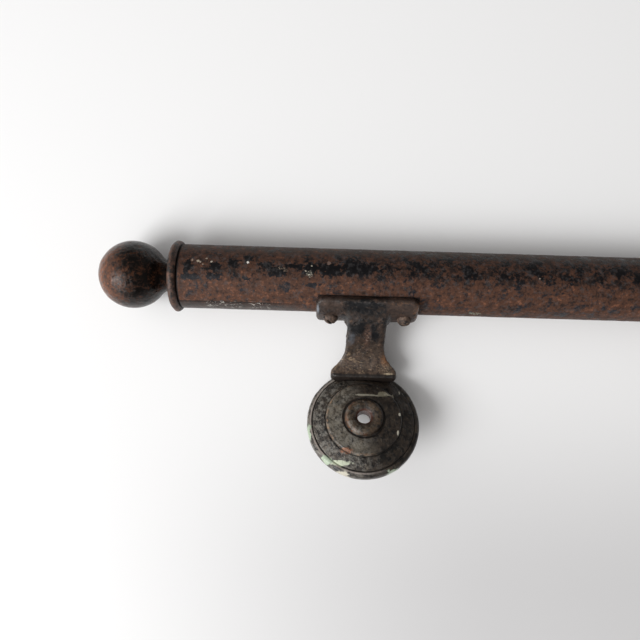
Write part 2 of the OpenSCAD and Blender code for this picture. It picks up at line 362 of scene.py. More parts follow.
def clouds(tree, place, per_metre, detail, rough, low, high, lopsided=0.0):
    """Patches where noise runs over a level."""
    return rise(tree, grain(tree, place, per_metre, detail, rough, lopsided), low, high)


def group(name, takes, gives):
    """Starts a shader node group. takes has (socket name, kind, starting value), gives (name, kind)."""
    tree = bpy.data.node_groups.new(name, "ShaderNodeTree")
    for label, kind, start in takes:
        made = tree.interface.new_socket(name=label, in_out="INPUT", socket_type="NodeSocket" + kind)
        if start is not None:
            made.default_value = start
    for label, kind in gives:
        tree.interface.new_socket(name=label, in_out="OUTPUT", socket_type="NodeSocket" + kind)
    return tree, tree.nodes.new("NodeGroupInput").outputs, tree.nodes.new("NodeGroupOutput").inputs


def use(tree, shared, **feeds):
    """Places a shared group in a tree; a word in the call stands for the socket of that name."""
    made = put(tree, "ShaderNodeGroup", node_tree=shared)
    for key, value in feeds.items():
        feed(tree, made.inputs[key.replace("_", " ").capitalize()], value)
    return made.outputs


# ---------------------------------------------------------------- shared finishes
def make_old_paint():
    """Rust in three shades under what is left of a dark paint. The rust's shade is a coarse and a fine noise
    added. The paint is a third noise, cut off where it falls under a level that the paint amount sets."""
    tree, takes, gives = group("old paint over rust", [
        ("Place", "Vector", None), ("Blotch", "Float", 170), ("Patch", "Float", 110), ("Rust", "Float", 0),
        ("Paint", "Float", 0), ("Soft", "Float", 0.09), ("Dark", "Color", (0.030, 0.020, 0.017, 1)),
        ("Mid", "Color", (0.085, 0.042, 0.03, 1)), ("Bright", "Color", (0.17, 0.08, 0.05, 1)),
        ("Coat", "Color", (0.014, 0.016, 0.02, 1)),
    ], [("Color", "Color"), ("Coated", "Float"), ("Height", "Float")])
    place = takes["Place"]
    coarse = grain(tree, place, takes["Blotch"], 6, 0.70)
    fine = grain(tree, place, 520, 4, 0.74)
    shade = calc(tree, "MULTIPLY_ADD", coarse, 0.62, calc(tree, "MULTIPLY_ADD", fine, 0.38, takes["Rust"]))
    rust = mixed(tree, rise(tree, shade, 0.40, 0.52), takes["Dark"], takes["Mid"])
    rust = mixed(tree, rise(tree, shade, 0.53, 0.64), rust, takes["Bright"])
    shifted = vector(tree, "ADD", place, (0.31, 0.17, 0.23))
    kept = calc(tree, "ADD", grain(tree, shifted, takes["Patch"], 6, 0.74), takes["Paint"])
    kept = calc(tree, "MULTIPLY_ADD", calc(tree, "SUBTRACT", 0.5, fine), 0.35, kept)
    coated = rise(tree, kept, 0.48, calc(tree, "ADD", takes["Soft"], 0.48))
    mottle = rise(tree, grain(tree, shifted, 780, 3, 0.75), 0.38, 0.64)
    coat = mixed(tree, mottle, mixed(tree, 0.55, takes["Coat"], (0.0, 0.0, 0.0)), takes["Coat"])
    feed(tree, gives["Color"], mixed(tree, coated, rust, coat))
    feed(tree, gives["Coated"], coated)
    feed(tree, gives["Height"], calc(tree, "MULTIPLY_ADD", coated, 0.35, calc(tree, "MULTIPLY", shade, 1.2)))
    return tree


def make_chip():
    """A ragged spot: the distance from a place, measured in reaches and shifted by the tear, under one."""
    tree, takes, gives = group("ragged chip", [
        ("Place", "Vector", None), ("Middle", "Vector", None), ("Reach", "Vector", (0.002, 0.002, 0.002)),
        ("Torn", "Float", 0.0), ("Ragged", "Float", 1.0), ("Soft", "Float", 0.28),
    ], [("Mask", "Float")])
    gap = vector(tree, "DIVIDE", vector(tree, "SUBTRACT", takes["Place"], takes["Middle"]), takes["Reach"])
    far = vector(tree, "LENGTH", gap, out="Value")
    far = calc(tree, "MULTIPLY_ADD", takes["Torn"], takes["Ragged"], far)
    feed(tree, gives["Mask"], rise(tree, far, 1.0, calc(tree, "SUBTRACT", 1.0, takes["Soft"])))
    return tree


def make_flecks():
    """Small chips strewn about: the cells of a Voronoi pattern whose random number is under the amount, near
    each cell's middle."""
    tree, takes, gives = group("strewn flecks", [
        ("Place", "Vector", None), ("Spread", "Float", 250), ("Amount", "Float", 0.1), ("Size", "Float", 0.3),
    ], [("Mask", "Float")])
    cells = put(tree, "ShaderNodeTexVoronoi", {"Vector": takes["Place"], "Scale": takes["Spread"]})
    number = put(tree, "ShaderNodeSeparateColor", {0: cells.outputs["Color"]}).outputs[0]
    chosen = calc(tree, "LESS_THAN", number, takes["Amount"])
    ragged = grain(tree, takes["Place"], 1500, 2, 0.7)
    torn = calc(tree, "MULTIPLY_ADD", ragged, 0.35, cells.outputs["Distance"])
    near = calc(tree, "LESS_THAN", calc(tree, "SUBTRACT", torn, 0.17), takes["Size"])
    feed(tree, gives["Mask"], calc(tree, "MULTIPLY", chosen, near))
    return tree


OLD_PAINT = make_old_paint()
CHIP = make_chip()
FLECKS = make_flecks()


def tear(tree, place, per_metre=700):
    """Noise about zero that makes the chips of a material ragged."""
    return calc(tree, "MULTIPLY", calc(tree, "SUBTRACT", grain(tree, place, per_metre, 4, 0.72), 0.5), 2.4)


def chip(tree, place, middle, reach, torn, ragged=1.0, soft=0.28):
    """Mask of a ragged spot; middle and reach are in millimetres."""
    return use(tree, CHIP, place=place, middle=[m * MM for m in middle], reach=[r * MM for r in reach],
               torn=torn, ragged=ragged, soft=soft)["Mask"]


def both(tree, *masks):
    """Masks multiplied together."""
    product = masks[0]
    for mask in masks[1:]:
        product = calc(tree, "MULTIPLY", product, mask)
    return product


def tint(tree, color, mask, share, shade):
    """The colour taken towards a shade by a share of a mask."""
    return mixed(tree, calc(tree, "MULTIPLY", mask, share), color, shade)


def start(name):
    """A new material: its tree, the place on the object, and the edge measure, which drives edge wear and
    painted shade in grooves.
    """
    material = bpy.data.materials.new(name)
    material.use_nodes = True
    tree = material.node_tree
    tree.nodes.clear()
    place = put(tree, "ShaderNodeTexCoord").outputs["Object"]
    edge = put(tree, "ShaderNodeAttribute", attribute_name="edge").outputs["Fac"]
    return material, tree, place, edge


def finish(tree, color, rough, height, depth, metal=None, shine=0.2):
    """Ends a material: a Principled shader whose surface is raised by the height times the depth in mm."""
    bump = put(tree, "ShaderNodeBump", {"Height": height, "Distance": depth * MM, "Strength": 1.0})
    shader = put(tree, "ShaderNodeBsdfPrincipled",
                 {"Base Color": color, "Roughness": rough, "Normal": bump.outputs[0],
                  "Specular IOR Level": shine})
    if metal is not None:
        feed(tree, shader.inputs["Metallic"], metal)
    put(tree, "ShaderNodeOutputMaterial", {"Surface": shader.outputs[0]})


def parts_of(tree, place):
    """The x, y and z of a place."""
    return put(tree, "ShaderNodeSeparateXYZ", {0: place}).outputs[:3]


def joined(tree, x, y, z):
    """A place from its x, y and z."""
    return put(tree, "ShaderNodeCombineXYZ", {0: x, 1: y, 2: z}).outputs[0]


def by_bracket(tree, place):
    """Place measured from the middle of the nearer wall plate's back, x towards the rail's middle, and then
    its x, y and z."""
    x, y, z = parts_of(tree, place)
    inward = calc(tree, "SUBTRACT", PLATE_X, calc(tree, "ABSOLUTE", x))
    return joined(tree, inward, y, z), inward, y, z


def only_left(tree, place):
    """1 on the left-hand end, 0 on the right."""
    return calc(tree, "LESS_THAN", parts_of(tree, place)[0], 0.0)


CREAM = (0.52, 0.49, 0.40)
PALE_GREEN = (0.37, 0.44, 0.33)


def on_tube(along, up):
    """Point of the tube's skin that faces out of the floor, in millimetres: along from the left-hand end, up
    across the rail."""
    a = np.arcsin(np.clip(up * MM / TUBE_R, -1, 1))
    point = (AXIS + TUBE_R * (np.cos(a) * FLOOR_N + np.sin(a) * FLOOR_U)) / MM
    point[0] = along - TUBE_END / MM
    return point


def rusty_tube():
    """Brown rust with blue-black paint left in a band above the rail's middle line, and a few old chips."""
    material, tree, place, _ = start("rusty tube")
    from_axis = vector(tree, "SUBTRACT", place, tuple(AXIS))
    up = calc(tree, "DIVIDE", vector(tree, "DOT_PRODUCT", from_axis, tuple(FLOOR_U), out="Value"), TUBE_R)
    off_floor = vector(tree, "DOT_PRODUCT", from_axis, tuple(FLOOR_N), out="Value")
    facing = calc(tree, "GREATER_THAN", off_floor, 0.0)
    x = parts_of(tree, place)[0]
    from_end = calc(tree, "ADD", x, TUBE_END)
    torn, sharp = tear(tree, place, 420), tear(tree, place, 1300)
    band = both(tree, rise(tree, up, -0.25, 0.20), rise(tree, up, 0.98, 0.62))
    further = rise(tree, from_end, 60 * MM, 170 * MM)
    amount = calc(tree, "MULTIPLY_ADD", band, calc(tree, "MULTIPLY_ADD", further, 0.08, 0.015), -0.055)
    for along, height_up, reach, tall in [
            (6.5, 4.9, 3, 6), (25.4, 5.4, 4.6, 3.4), (44.9, 11.1, 3.8, 3.2), (34.9, 8.2, 3.6, 2.4),
            (55.6, 7, 6.5, 2.8), (63.8, 2.8, 6, 4.4), (72.7, 7.2, 7, 2.2), (84, 6, 7.5, 4.6),
            (96.6, 5.7, 10, 4.6), (8.4, -2, 8, 2.2), (24.2, -1.2, 6, 2.8), (44, -1.9, 3, 2),
            (85.3, -4.7, 6.5, 1.8), (115, 7, 14, 5)]:
        size = (1.2 * reach, 1.2 * tall, 1.2 * tall)
        spot = chip(tree, place, on_tube(along, height_up), size, torn, 0.8, 0.9)
        amount = calc(tree, "MULTIPLY_ADD", spot, 0.36, amount)
    # The rust is darker in the paint band above the middle line and further along the rail; the band's
    # darkening is partly darker rust and partly painted shade on the tube's upper side, away from the light.
    tone = calc(tree, "MULTIPLY_ADD", further, -0.022, calc(tree, "MULTIPLY_ADD", band, -0.050, 0.024))
    coat = mixed(tree, band, (0.018, 0.018, 0.023), (0.0045, 0.004, 0.005))
    skin = use(tree, OLD_PAINT, place=place, blotch=210, patch=120, paint=amount, rust=tone, soft=0.11,
               dark=(0.020, 0.0115, 0.009), mid=(0.072, 0.032, 0.0195), bright=(0.165, 0.069, 0.038),
               coat=coat)
    shifted = vector(tree, "ADD", place, (0.7, 0.4, 0.9))
    grey = clouds(tree, shifted, 330, 4, 0.72, 0.50, 0.66)
    color = tint(tree, skin["Color"], grey, 0.42, (0.070, 0.066, 0.068))
    # painted shade: the tube's upper side, away from the light, darkened in patches
    top = both(tree, rise(tree, up, 0.62, 0.86), clouds(tree, shifted, 160, 5, 0.7, 0.30, 0.60))
    color = tint(tree, color, top, 0.7, (0.040, 0.034, 0.029))
    color = tint(tree, color, clouds(tree, shifted, 520, 4, 0.76, 0.56, 0.68), 0.6, (0.014, 0.011, 0.010))
    worn = both(tree, rise(tree, up, -0.78, -0.86), rise(tree, from_end, 90 * MM, 66 * MM), facing)
    color = tint(tree, color, worn, 0.8, (0.026, 0.021, 0.019))
    line = both(tree, away(tree, up, -0.80, 0.035, 0.012), facing, rise(tree, from_end, 84 * MM, 60 * MM),
                rise(tree, sharp, -0.5, 0.0))
    color = tint(tree, color, line, 0.85, (0.007, 0.006, 0.006))
    for along, height_up, reach, tall, shade in [
            (44.9, 8.4, 0.85, 0.95, (0.75, 0.72, 0.66)), (9.7, 9.0, 0.6, 0.9, (0.26, 0.19, 0.15)),
            (13.4, 8.4, 1.0, 0.9, (0.34, 0.29, 0.22)), (15.0, 7.8, 0.6, 0.7, (0.30, 0.24, 0.19)),
            (18.6, 10.2, 0.8, 0.6, (0.27, 0.22, 0.17)), (21.9, 8.2, 0.85, 0.7, (0.44, 0.39, 0.32)),
            (16.6, 6.4, 0.5, 0.5, (0.24, 0.2, 0.16)), (96, 9.5, 1.3, 1.5, (0.15, 0.10, 0.082)),
            (85.2, 7.4, 0.6, 0.5, (0.42, 0.38, 0.30)), (81.5, 4.0, 0.6, 0.5, (0.4, 0.35, 0.28))]:
        spot = chip(tree, place, on_tube(along, height_up), (reach, tall, tall), sharp, 0.9)
        color = mixed(tree, spot, color, shade)
    for along, height_up, reach, tall, shade in [
            (66.3, 5.5, 2.6, 1.6, (0.26, 0.20, 0.15)), (69, 3.9, 1.8, 1.4, (0.26, 0.20, 0.15)),
            (84.0, 2.4, 2.6, 2.6, (0.50, 0.47, 0.38)), (192, -19.2, 5.2, 1.7, PALE_GREEN)]:
        spot = chip(tree, place, on_tube(along, height_up), (reach, tall, tall), torn, 0.5, 0.4)
        color = mixed(tree, both(tree, spot, rise(tree, sharp, 0.05, 0.22)), color, shade)
    low_strip = both(tree, away(tree, up, -0.87, 0.13, 0.06), facing)
    zones = [away(tree, from_end, middle * MM, reach * MM, 0.4 * reach * MM)
             for middle, reach in ((29, 14), (52, 9))]
    slanted = vector(tree, "MULTIPLY", place, (0.35, 1, 1.2))
    scratches = both(tree, clouds(tree, slanted, 560, 2, 0.6, 0.60, 0.65, 2.5), low_strip,
                     calc(tree, "MAXIMUM", *zones))
    color = mixed(tree, scratches, color, (0.62, 0.59, 0.53))
    strewn = use(tree, FLECKS, place=place, spread=140, amount=0.02, size=0.06)["Mask"]
    color = mixed(tree, strewn, color, (0.26, 0.20, 0.16))
    to_end = calc(tree, "SUBTRACT", TUBE_END, calc(tree, "ABSOLUTE", x))
    # painted shade: near black in the crevices where the saddles and the collars meet the tube
    dirt = calc(tree, "MAXIMUM", saddle_edge_shade(tree, place), rise(tree, to_end, 1.25 * MM, 0.8 * MM))
    color = tint(tree, color, dirt, 0.9, (0.006, 0.005, 0.005))
    smooth = calc(tree, "MULTIPLY", calc(tree, "MAXIMUM", skin["Coated"], worn), 0.24)
    finish(tree, color, calc(tree, "SUBTRACT", 0.62, smooth), skin["Height"], 0.30, shine=0.2)
    return material


def saddle_edge_shade(tree, place):
    """Painted shade on the tube close to a saddle, standing in for the shade of the crevice where the
    saddle's edge
    meets the tube: how near the point is to the saddle's outline, measured along the rail and round it."""
    _, inward, y, z = by_bracket(tree, place)
    side = calc(tree, "SUBTRACT", calc(tree, "ABSOLUTE", inward), SADDLE_L / 2)
    turn = calc(tree, "ARCTAN2", calc(tree, "SUBTRACT", y, AXIS_Y), calc(tree, "SUBTRACT", AXIS_Z, z))
    over = calc(tree, "SUBTRACT", calc(tree, "ABSOLUTE", turn), float(SADDLE_WRAP))
    over = calc(tree, "MULTIPLY", over, TUBE_R)
    return rise(tree, calc(tree, "MAXIMUM", side, over), 0.35 * MM, 0.12 * MM)


def finial_iron():
    """Nearly black iron with orange rust on its outer end and low on its sides."""
    material, tree, place, edge = start("finial iron")
    x, y, z = parts_of(tree, place)
    from_ball = vector(tree, "SUBTRACT", joined(tree, calc(tree, "ABSOLUTE", x), y, z),
                       (TUBE_END + BALL_OUT, AXIS_Y, AXIS_Z))
    outward = np.array([0.96, 0, 0]) + 0.22 * FLOOR_N - 0.02 * FLOOR_U
    way = vector(tree, "DOT_PRODUCT", from_ball, tuple(outward / BALL_R), out="Value")
    rusted = rise(tree, calc(tree, "MULTIPLY_ADD", tear(tree, place, 130), 0.50, way), 0.0, 1.05)
    skin = use(tree, OLD_PAINT, place=place, blotch=300, patch=200, soft=0.20,
               paint=calc(tree, "MULTIPLY_ADD", rusted, -0.26, 0.10),
               rust=calc(tree, "MULTIPLY_ADD", rusted, 0.08, -0.06),
               dark=(0.013, 0.0065, 0.004), mid=(0.056, 0.021, 0.010), bright=(0.19, 0.064, 0.026),
               coat=(0.0036, 0.0022, 0.0016))
    fine = tear(tree, place, 900)
    orange = both(tree, rusted, clouds(tree, place, 420, 5, 0.78, 0.40, 0.62))
    color = tint(tree, skin["Color"], orange, 0.75, (0.20, 0.064, 0.024))
    rub = rise(tree, calc(tree, "MULTIPLY_ADD", fine, 1.0, edge), 1.6, 3.4)
    color = tint(tree, color, rub, 0.25, (0.12, 0.09, 0.075))
    height = calc(tree, "MULTIPLY_ADD", fine, 0.12, skin["Height"])
    finish(tree, color, calc(tree, "MULTIPLY_ADD", skin["Coated"], -0.03, 0.20), height, 0.26, shine=0.24)
    return material


def collar_iron():
    """Brown iron, rubbed to a lighter tone on the bead, and near black where it faces the tube's end: a
    painted shade for the gap between collar and tube.
    """
    material, tree, place, edge = start("collar iron")
    skin = use(tree, OLD_PAINT, place=place, blotch=300, patch=190, paint=0.0, rust=-0.01, soft=0.14,
               dark=(0.016, 0.010, 0.008), mid=(0.085, 0.042, 0.028), bright=(0.20, 0.10, 0.064),
               coat=(0.011, 0.010, 0.0095))
    rub = rise(tree, calc(tree, "MULTIPLY_ADD", tear(tree, place, 700), 1.4, edge), 1.3, 2.8)
    color = tint(tree, skin["Color"], rub, 0.6, (0.22, 0.15, 0.11))
    past_end = calc(tree, "SUBTRACT", calc(tree, "ABSOLUTE", parts_of(tree, place)[0]), TUBE_END)
    # painted shade: near black on the face towards the tube's end, where the gap between collar and tube lies
    # in shade
    color = mixed(tree, rise(tree, past_end, 0.8 * MM, 0.3 * MM), color, (0.005, 0.004, 0.004))
    rough = calc(tree, "MULTIPLY_ADD", skin["Coated"], -0.12, 0.5)
    finish(tree, color, rough, skin["Height"], 0.28, shine=0.35)
    return material


def arm_iron():
    """Black-brown cast iron: blue-black paint on the saddle's middle and the neck, a rusty streak down the
    arm, brown dirt on the flare and scraped corners. Painted highlights on the saddle's left end, the arm's
    left side and the flare's left edge, and painted shade in the grooves and along the foot's sole."""
    material, tree, place, edge = start("arm iron")
    local, inward, _, z = by_bracket(tree, place)
    torn, sharp = tear(tree, place, 300), tear(tree, place, 1100)
    low = rise(tree, z, 47 * MM, 38 * MM)
    ends = both(tree, away(tree, inward, -2 * MM, 11 * MM, 17 * MM), rise(tree, z, 50 * MM, 56 * MM))
    black = calc(tree, "MAXIMUM", chip(tree, local, (0, -59, 55), (15, 8, 6), torn, 0.7, 0.9),
                 calc(tree, "MAXIMUM", chip(tree, local, (-5, -44, 49), (8, 12, 5), torn, 0.6, 0.9),
                      chip(tree, local, (5, -38, 47), (4, 12, 4), torn, 0.7, 0.9)))
    paint = calc(tree, "MULTIPLY_ADD", black, 0.18, calc(tree, "MULTIPLY_ADD", low, -0.09, 0.0))
    skin = use(tree, OLD_PAINT, place=place, blotch=240, patch=150, soft=0.14, paint=paint, rust=0.0,
               dark=(0.0065, 0.0042, 0.0032), mid=(0.026, 0.016, 0.0115), bright=(0.095, 0.057, 0.040),
               coat=(0.0038, 0.0040, 0.0054))
    bloom = clouds(tree, place, 330, 5, 0.75, 0.36, 0.62)
    color = tint(tree, skin["Color"], both(tree, low, bloom), 0.75, (0.100, 0.066, 0.045))
    color = tint(tree, color, both(tree, ends, bloom), 0.6, (0.070, 0.043, 0.033))
    slanted = vector(tree, "MULTIPLY", place, (0.45, 1, 1))
    scraped = clouds(tree, slanted, 380, 3, 0.65, 0.585, 0.66, 2.0)
    color = tint(tree, color, both(tree, scraped, low), 0.7, (0.27, 0.19, 0.12))
    scuffed = clouds(tree, vector(tree, "ADD", place, (0.5, 0.5, 0.5)), 300, 5, 0.75, 0.54, 0.62)
    color = tint(tree, color, both(tree, scuffed, low), 0.6, (0.013, 0.010, 0.008))
    for middle, reach, ragged, soft, cut, share, shade in [
            ((0.5, -36, 47), (3.4, 16, 7), 0.9, 0.9, -0.25, 0.8, (0.105, 0.050, 0.032)),
            ((0.5, -36.5, 46), (3.0, 12, 2.6), 0.6, 0.7, 0.12, 1.0, (0.27, 0.22, 0.18)),
            ((31.5, -56, 55), (3.2, 11, 5), 1.0, 0.9, -0.25, 0.75, (0.18, 0.072, 0.022)),
            ((22.0, -62.0, 56.5), (12, 1.7, 1.7), 1.1, 0.8, -0.05, 0.8, (0.17, 0.070, 0.022)),
            # painted highlight: a pale bluish spot on the saddle's left end
            ((-32.2, -56, 54.5), (1.1, 6, 3), 0.4, 0.8, -1.0, 0.8, (0.17, 0.19, 0.22)),
            # painted sheen: a bluish spot where the saddle meets the neck
            ((-7, -49, 53.7), (6, 5, 4), 0.6, 0.9, -0.4, 0.55, (0.075, 0.080, 0.090)),
            # painted highlight: a bluish-white streak on the arm's left side
            ((-9.5, -34, 46), (3.4, 12, 3.8), 0.6, 0.9, -0.5, 0.6, (0.11, 0.115, 0.13)),
            ((14.0, -20, 38), (4.5, 10, 5), 0.9, 0.9, -0.3, 0.85, (0.17, 0.075, 0.030)),
            ((-19.5, -14, 35), (4, 10, 5), 0.9, 0.9, -0.35, 0.6, (0.19, 0.125, 0.075)),
            # painted highlight: a cream-tan spot on the lump at the flare's left edge
            ((-15.5, -18, 42), (1.3, 8, 1.8), 0.7, 0.6, -0.6, 0.9, (0.36, 0.29, 0.20)),
            ((15.0, -16, 34.5), (8, 9, 3.4), 0.8, 0.6, 0.06, 1.0, (0.34, 0.25, 0.16)),
            ((17.0, -14, 30.6), (5.0, 8, 0.8), 1.0, 0.6, -0.3, 1.0, (0.42, 0.34, 0.23)),
            ((-3.5, -15, 30.8), (2.0, 6, 0.9), 0.9, 0.6, 0.1, 1.0, (0.45, 0.38, 0.30))]:
        spot = chip(tree, local, middle, reach, torn, ragged, soft)
        color = tint(tree, color, both(tree, spot, rise(tree, sharp, cut, cut + 0.35)), share, shade)
    rub = rise(tree, calc(tree, "MULTIPLY_ADD", torn, 1.6, edge), 2.0, 4.0)
    color = tint(tree, color, rub, 0.3, (0.15, 0.11, 0.085))
    specks = use(tree, FLECKS, place=place, spread=240, amount=0.09, size=0.06)["Mask"]
    color = tint(tree, color, specks, 0.8, (0.28, 0.20, 0.14))
    # painted shade: near black in the grooves
    color = tint(tree, color, rise(tree, edge, -0.6, -2.2), 0.8, (0.006, 0.005, 0.004))
    # painted shade: near black along the foot's sole, where the arm meets the plate
    ragged_z = calc(tree, "MULTIPLY_ADD", sharp, 0.5 * MM, z)
    sole = rise(tree, ragged_z, FOOT_Z + 2.5 * MM, FOOT_Z + 1.7 * MM)
    color = tint(tree, color, sole, 0.85, (0.009, 0.0075, 0.007))
    height = calc(tree, "MULTIPLY_ADD", sharp, 0.06, skin["Height"])
    rough = calc(tree, "MULTIPLY_ADD", skin["Coated"], -0.12, 0.42)
    finish(tree, color, rough, height, 0.36, shine=0.42)
    return material


def plate_iron():
    """Green-black iron with rust about the boss and in the hole, and pale green wall paint left on the rim.
    The lower side towards the rail's outer end is painted as lit: paler, with a pale sheen and tan painted
    highlights on its ring and rim edges, while the grooves get painted shade."""
    material, tree, place, edge = start("plate iron")
    local, inward, _, z = by_bracket(tree, place)
    out = vector(tree, "LENGTH", joined(tree, inward, 0.0, z), out="Value")
    left_hand = only_left(tree, place)
    right_hand = calc(tree, "SUBTRACT", 1.0, left_hand)
    torn, sharp = tear(tree, place, 300), tear(tree, place, 1100)
    outer = calc(tree, "DIVIDE", calc(tree, "MULTIPLY", inward, -1.0), out)
    slope = calc(tree, "MULTIPLY_ADD", calc(tree, "DIVIDE", z, out), -0.25, outer)
    # painted light: lit_side is the lower side of each plate towards the rail's outer end, the side that
    # faces the light on the left-hand plate; there it gets less paint, paler rust and a pale sheen
    lit_side = rise(tree, slope, -0.35, 0.6)
    skin = use(tree, OLD_PAINT, place=place, blotch=230, patch=160, soft=0.12,
               paint=calc(tree, "MULTIPLY_ADD", lit_side, -0.05, 0.05),
               rust=calc(tree, "MULTIPLY_ADD", lit_side, 0.04, -0.02),
               dark=(0.0075, 0.0056, 0.0042), mid=(0.029, 0.0215, 0.0155), bright=(0.115, 0.088, 0.062),
               coat=(0.0050, 0.0044, 0.0040))
    # painted sheen: pale grey clouds on the lit side; the other side gets brown clouds instead
    lit_sheen = both(tree, clouds(tree, place, 260, 5, 0.78, 0.43, 0.60), lit_side)
    color = tint(tree, skin["Color"], lit_sheen, 0.72, (0.19, 0.178, 0.155))
    dull = both(tree, clouds(tree, place, 250, 5, 0.75, 0.42, 0.62), calc(tree, "SUBTRACT", 1.0, lit_side))
    color = tint(tree, color, dull, 0.45, (0.070, 0.049, 0.034))
    broken = calc(tree, "ABSOLUTE", torn)

    def hoop(radius, width):
        """Mask of a ring of the plate, broken up by noise; radius and width are millimetres."""
        gap = calc(tree, "ABSOLUTE", calc(tree, "SUBTRACT", out, radius * MM))
        gap = calc(tree, "DIVIDE", gap, width * MM)
        return rise(tree, calc(tree, "MULTIPLY_ADD", broken, 1.2, gap), 1.4, 0.5)

    spots = clouds(tree, place, 380, 4, 0.75, 0.46, 0.60)
    boss_spots = both(tree, rise(tree, outer, -0.5, 0.6), spots)
    boss_clouds = clouds(tree, place, 420, 4, 0.75, 0.40, 0.58)
    lit_ring_sheen = both(tree, clouds(tree, place, 170, 5, 0.72, 0.38, 0.60), lit_side)
    # In this table the ring's slope, the ring's edge and the rim's groove edge are a painted sheen and
    # painted highlights on the lit side; the boss rings and the hole ring are rust.
    for radius, width, mask, share, shade in [
            (RING_R / MM - 5.0, 5.0, lit_ring_sheen, 0.6, (0.20, 0.175, 0.135)),
            (BOSS_R / MM - 1.0, 1.8, boss_spots, 0.85, (0.15, 0.062, 0.028)),
            (BOSS_R / MM - 4.0, 3.4, boss_clouds, 0.6, (0.105, 0.068, 0.040)),
            (4.4, 1.5, 1.0, 0.9, (0.062, 0.020, 0.010)),
            (RING_R / MM - 0.3, 0.8, both(tree, lit_side, spots), 0.75, (0.26, 0.16, 0.09)),
            (GROOVE_R / MM + 0.9, 0.6, lit_side, 0.75, (0.36, 0.31, 0.28))]:
        color = tint(tree, color, both(tree, hoop(radius, width), mask), share, shade)
    streak = chip(tree, local, (-12, -11, -22), (6.5, 5, 2.0), torn, 1.0, 0.5)
    color = tint(tree, color, both(tree, streak, rise(tree, sharp, -0.25, 0.1)), 0.85, (0.26, 0.105, 0.05))
    # edge rub that shows only on the lit side: partly wear, partly painted highlight
    rub = both(tree, rise(tree, calc(tree, "MULTIPLY_ADD", torn, 1.2, edge), 1.4, 3.4), lit_side)
    color = tint(tree, color, rub, 0.4, (0.19, 0.15, 0.12))
    # painted shade: near black in the grooves
    color = tint(tree, color, rise(tree, edge, -0.7, -2.2), 0.85, (0.008, 0.007, 0.006))
    grey = (0.30, 0.28, 0.22)
    for end, middle, reach, ragged, shade in [
            (left_hand, (-14.5, -6, -28.6), (8.5, 4, 1.9), 0.9, (0.50, 0.54, 0.41)),
            (left_hand, (-24, -5, -27.0), (4, 4, 3.5), 0.9, PALE_GREEN),
            (left_hand, (-36, -3, -9), (2.4, 4, 7), 0.9, PALE_GREEN),
            (left_hand, (-13, -2, -34.5), (9, 4, 2.0), 1.2, CREAM),
            (left_hand, (20, -3, -32), (8, 4, 2.6), 1.4, PALE_GREEN),
            # painted reflection: this entry and the next two are a pale streak above the boss, standing in
            # for the plate reflecting the bright surroundings
            (left_hand, (3, -12, 15.6), (13, 4, 0.7), 0.8, grey),
            (left_hand, (13.0, -11, 16.8), (4.6, 4, 1.7), 1.9, (0.19, 0.17, 0.12)),
            (left_hand, (17.0, -11, 16.6), (3.0, 4, 1.3), 1.9, (0.26, 0.24, 0.18)),
            (left_hand, (23.5, -11, 3), (0.9, 3, 1.3), 0.5, CREAM),
            (left_hand, (21.8, -11, -9.5), (0.8, 3, 1.9), 0.6, CREAM),
            (left_hand, (24.5, -9, 20.5), (0.5, 3, 2.2), 0.5, CREAM),
            (right_hand, (22, -4, -27), (9, 4, 3), 1.3, PALE_GREEN),
            (right_hand, (-32, -4, 14), (3, 4, 9), 1.3, CREAM),
            # painted reflection: the same pale streak above the boss, on the right-hand plate
            (right_hand, (-10, -11, 15), (7, 4, 1.6), 1.2, grey)]:
        color = mixed(tree, both(tree, chip(tree, local, middle, reach, torn, ragged), end), color, shade)
    specks = use(tree, FLECKS, place=place, spread=230, amount=0.06, size=0.08)["Mask"]
    color = tint(tree, color, specks, 0.7, (0.30, 0.26, 0.21))
    rough = calc(tree, "MULTIPLY_ADD", skin["Coated"], -0.12, 0.40)
    finish(tree, color, rough, skin["Height"], 0.36, shine=0.45)
    return material


def screw_steel():
    """Rust-brown screw heads with darker hollows."""
    material, tree, place, _ = start("screw steel")
    skin = use(tree, OLD_PAINT, place=place, blotch=420, patch=260, paint=-0.02, rust=0.03,
               dark=(0.024, 0.017, 0.014), mid=(0.075, 0.050, 0.038), bright=(0.17, 0.115, 0.085),
               coat=(0.016, 0.017, 0.018))
    finish(tree, skin["Color"], 0.55, skin["Height"], 0.2)
    return material


def inner_steel():
    """Bare steel that the rail has kept dry: grey, with a brown bloom."""
    material, tree, place, edge = start("inner steel")
    bloom = clouds(tree, place, 240, 5, 0.7, 0.46, 0.62)
    color = mixed(tree, bloom, (0.20, 0.19, 0.18), (0.11, 0.065, 0.042))
    color = tint(tree, color, rise(tree, edge, 0.4, 2.0), 0.6, (0.30, 0.28, 0.26))
    finish(tree, color, calc(tree, "MULTIPLY_ADD", bloom, 0.3, 0.38), grain(tree, place, 1200, 3), 0.06,
           calc(tree, "MULTIPLY_ADD", bloom, -0.75, 0.85))
    return material


# ---------------------------------------------------------------- pieces
UP = (0, 0, 1)
ALONG = (1, 0, 0)


def tube_end(sign):
    """The middle of the tube's left-hand (-1) or right-hand (1) end, or of the tube (0)."""
    return np.array([sign * TUBE_END, AXIS_Y, AXIS_Z])


